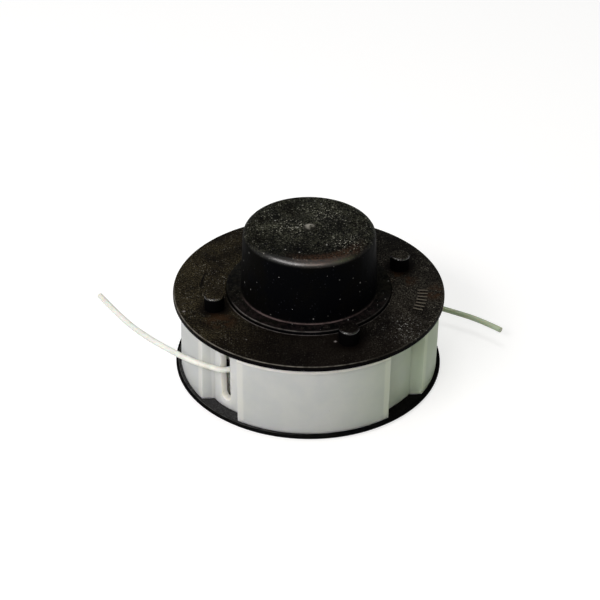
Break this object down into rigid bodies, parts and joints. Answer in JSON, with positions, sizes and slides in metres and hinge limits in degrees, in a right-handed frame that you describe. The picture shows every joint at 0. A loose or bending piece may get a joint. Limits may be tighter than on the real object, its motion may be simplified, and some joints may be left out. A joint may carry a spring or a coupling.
{
  "type": "trimmer line spool",
  "caption": "Line spool for a grass trimmer: black flanged hub with tap knob and index pegs, a slotted translucent band between the flanges, and nylon line ends on opposite sides.",
  "frame": {"origin": "centre of the lower flange's underside, on the spool's axis", "axes": "+Z along the spool's axis towards the tap knob, X and Y through the middles of the band's pads"},
  "size_m": [0.102, 0.066, 0.0386],
  "materials": {
    "black_moulding": "fine spark-eroded grain, dusty",
    "white_moulding": "translucent natural moulding",
    "nylon_line": "clear drawn line"
  },
  "bodies": {
    "spool": {"spool_hub": "black_moulding", "upper_flange": "black_moulding", "upper_winding": "nylon_line", "lower_winding": "nylon_line"},
    "band": {"line_band": "white_moulding", "upper_line_tail": "nylon_line", "lower_line_tail": "nylon_line"}
  },
  "joints": [
    {"name": "band_turn", "type": "hinge", "parent": "spool", "child": "band", "pos_m": [0, 0, 0.0106], "axis": [0, 0, 1], "continuous": true}
  ]
}
